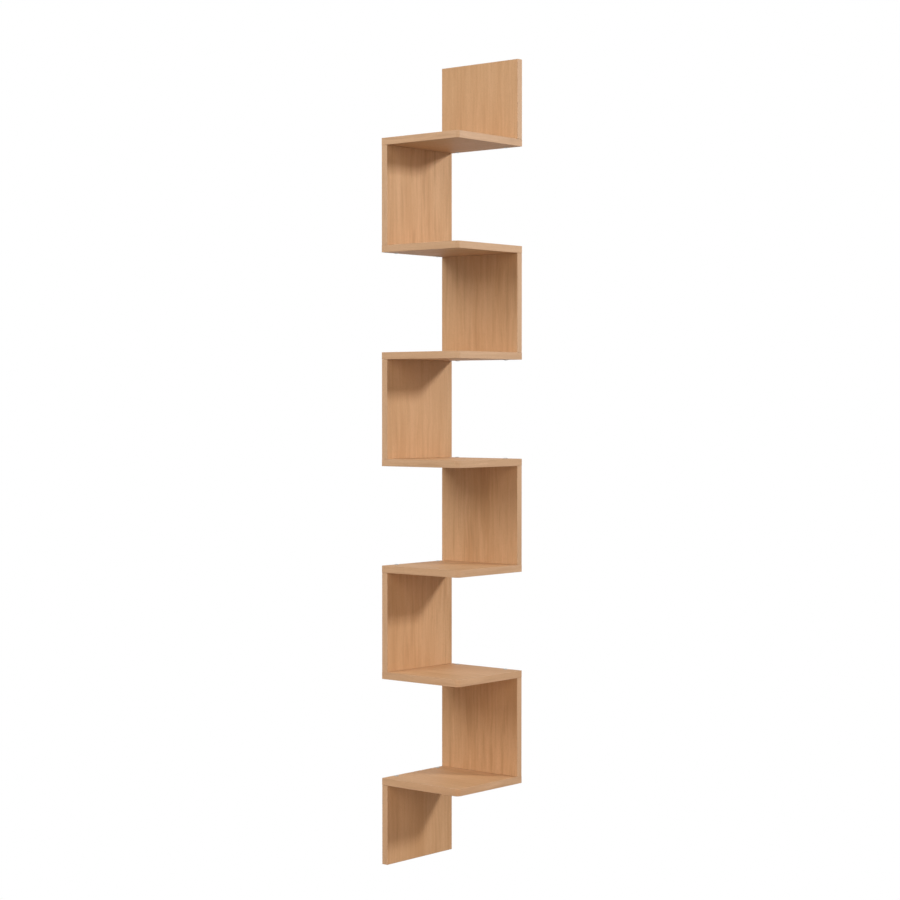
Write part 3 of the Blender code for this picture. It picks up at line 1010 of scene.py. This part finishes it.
def hanger_place(name, upright):
    """The frame of a hanger: its plate towards the wall, its slot upwards."""
    across, through = wall_axes(upright)
    middle = middle_of(name)
    plate = -reach_of(name, -through)
    centre = across * across.dot(middle) + UP * middle.z + through * plate
    return Matrix.Translation(centre) @ (-through).to_track_quat("Z", "Y").to_matrix().to_4x4()


def hanger_profile():
    """A plate with a skirt, open towards the board."""
    radius = HANGER_DIAMETER / 2
    return [
        (0.0, 0.0),
        (radius - HANGER_CHAMFER, 0.0),
        (radius, -HANGER_CHAMFER),
        (radius, -HANGER_DEPTH),
        (radius - HANGER_WALL, -HANGER_DEPTH),
        (radius - HANGER_WALL, -HANGER_PLATE),
        (0.0, -HANGER_PLATE),
    ]


def pocket_profile():
    """The pocket for a hanger, open above the plate."""
    radius = HANGER_DIAMETER / 2 + HOLE_CLEARANCE
    floor = -HANGER_DEPTH - HOLE_CLEARANCE
    return [(0.0, CUTTER_OVERRUN), (radius, CUTTER_OVERRUN), (radius, floor), (0.0, floor)]


def arc(centre, radius, start, end):
    """Points of an arc in a plane, from angle start to angle end."""
    angles = [start + (end - start) * i / KEYHOLE_STEPS for i in range(KEYHOLE_STEPS + 1)]
    return [(centre[0] + radius * math.cos(a), centre[1] + radius * math.sin(a)) for a in angles]


def keyhole_mesh():
    """A round mouth below and a narrow slot above, as a prism through the plate."""
    mouth = KEYHOLE_MOUTH_DIAMETER / 2
    slot = KEYHOLE_SLOT_WIDTH / 2
    neck = math.acos(slot / mouth)
    outline = arc((0.0, KEYHOLE_SLOT_LENGTH / 2), slot, 0.0, math.pi)
    outline += arc((0.0, -KEYHOLE_SLOT_LENGTH / 2), mouth, math.pi - neck, 2 * math.pi + neck)
    mesh = bpy.data.meshes.new("keyhole")
    with edited(mesh) as bm:
        face = bm.faces.new([bm.verts.new((x, y, -HANGER_PLATE - CUTTER_OVERRUN)) for x, y in outline])
        pushed = bmesh.ops.extrude_face_region(bm, geom=[face])["geom"]
        far_points = [point for point in pushed if isinstance(point, bmesh.types.BMVert)]
        bmesh.ops.translate(bm, vec=(0, 0, HANGER_PLATE + 2 * CUTTER_OVERRUN), verts=far_points)
        bmesh.ops.recalc_face_normals(bm, faces=bm.faces)
    mesh.materials.append(HANGER_METAL)
    return facing_out(mesh)


def make_hanger(name, upright):
    """A cast cup with a keyhole through its plate and softened edges."""
    cup = without_hub(turned(name, hanger_profile(), HANGER_SIDES, HANGER_METAL))
    cup = cut_out(cup, keyhole_mesh())
    blank = linked(cup.name, cup)
    bevel = blank.modifiers.new("cast edges", "BEVEL")
    bevel.width = HANGER_EDGE
    bevel.segments = HANGER_EDGE_STEPS
    bevel.limit_method = "ANGLE"
    hanger = made_plain(blank)
    hanger.transform(hanger_place(name, upright))
    add_piece(f"{name}_cup", hanger, "hanger_zinc", name)


# Studio

def add_camera():
    """The camera, level with the middle of the shelf and turned a little down."""
    data = bpy.data.cameras.new("camera")
    data.lens = CAMERA_LENS
    data.sensor_width = CAMERA_SENSOR
    camera = linked("camera", data)
    camera.location = CAMERA_PLACE
    camera.rotation_euler = (math.pi / 2 - CAMERA_DOWN, 0.0, CAMERA_TURN)
    bpy.context.scene.camera = camera


def add_lamp(name, place, size, power, colour, aim=SHELF_MIDDLE):
    """A square soft lamp aimed at the shelf, which isn't seen itself."""
    data = bpy.data.lights.new(name, "AREA")
    data.size = size
    data.energy = power
    data.color = colour
    lamp = linked(name, data)
    lamp.location = place
    lamp.rotation_euler = (Vector(aim) - Vector(place)).to_track_quat("-Z", "Y").to_euler()
    lamp.visible_camera = False


def seen_share(tree):
    """1 where a ray is seen directly, mirrored or through glass, and 0 where it only lights."""
    path = tree.nodes.new("ShaderNodeLightPath")
    seen = calculate(tree, "MAXIMUM", path.outputs["Is Camera Ray"], path.outputs["Is Glossy Ray"])
    return calculate(tree, "MAXIMUM", seen, path.outputs["Is Transmission Ray"])


def light_room():
    """An even room light, with a white background where it is seen."""
    world = bpy.data.worlds.new("studio")
    world.use_nodes = True
    bpy.context.scene.world = world
    tree = world.node_tree
    tree.nodes.clear()
    lit = add_node(tree, "ShaderNodeBackground", Color=(*WARM_LIGHT, 1.0), Strength=ROOM_LIGHT)
    white = add_node(tree, "ShaderNodeBackground", Color=WHITE, Strength=1.0)
    both = blend_shaders(tree, seen_share(tree), lit.outputs[0], white.outputs[0])
    add_node(tree, "ShaderNodeOutputWorld", Surface=both)


def floor_material():
    """A plain floor that keeps the shelf's shadow near it and is white away from it."""
    material, tree, shader = new_material("pale_floor")
    shader.inputs["Base Color"].default_value = FLOOR_COLOUR
    shader.inputs["Roughness"].default_value = FLOOR_ROUGHNESS
    place = add_node(tree, "ShaderNodeTexCoord").outputs["Object"]
    away = add_node(tree, "ShaderNodeVectorMath", {"operation": "LENGTH"}, Vector=place)
    faded = spread(tree, away.outputs["Value"], *FLOOR_FADE, FLOOR_WHITE_NEAR, 1.0)
    share = calculate(tree, "MULTIPLY", seen_share(tree), faded)
    white = add_node(tree, "ShaderNodeEmission", Color=WHITE, Strength=1.0)
    both = blend_shaders(tree, share, shader.outputs[0], white.outputs[0])
    tree.links.new(both, tree.nodes["Material Output"].inputs["Surface"])
    return material


def add_floor():
    """A floor well below the shelf."""
    mesh = bpy.data.meshes.new("floor")
    with edited(mesh) as bm:
        bmesh.ops.create_grid(bm, x_segments=1, y_segments=1, size=FLOOR_HALF_SIDE)
    mesh.materials.append(floor_material())
    floor = linked("floor", mesh)
    floor.location = (0.0, 0.0, FLOOR_LEVEL)


# Assembly

BEECH = decor_material("beech_decor_faces", BEECH_LIGHT, BEECH_DARK, BEECH_ROUGHNESS, BEECH_GLOSS,
                       BEECH_PORE_DEPTH)
BAND = decor_material("beech_edge_band", BAND_LIGHT, BAND_DARK, BAND_ROUGHNESS, BAND_GLOSS,
                      BAND_PORE_DEPTH)
CHIPBOARD = chipboard_material()
SCREW_METAL = screw_material()
HANGER_METAL = hanger_material()

EDGE_BAND = edge_band_tree()
TURNED = turned_tree()
THREADED_SCREW = threaded_screw_tree()
SET_IN_PLACES = set_in_places_tree()

SCREW = make_screw()
SCREW_HOLE = turned("screw_hole", screw_hole_profile(), TURNED_SIDES, CHIPBOARD)

for number in range(1, UPRIGHT_COUNT + 1):
    make_upright(number)
    make_upright_band(number)
for number in range(1, SHELF_COUNT + 1):
    make_shelf(number)
    make_shelf_band(number)
    make_screws(number)
for hanger, carrier in HANGERS.items():
    make_hanger(hanger, carrier)

add_camera()
for lamp in LAMPS:
    add_lamp(**lamp)
light_room()
add_floor()
bpy.context.scene.view_settings.view_transform = "Standard"
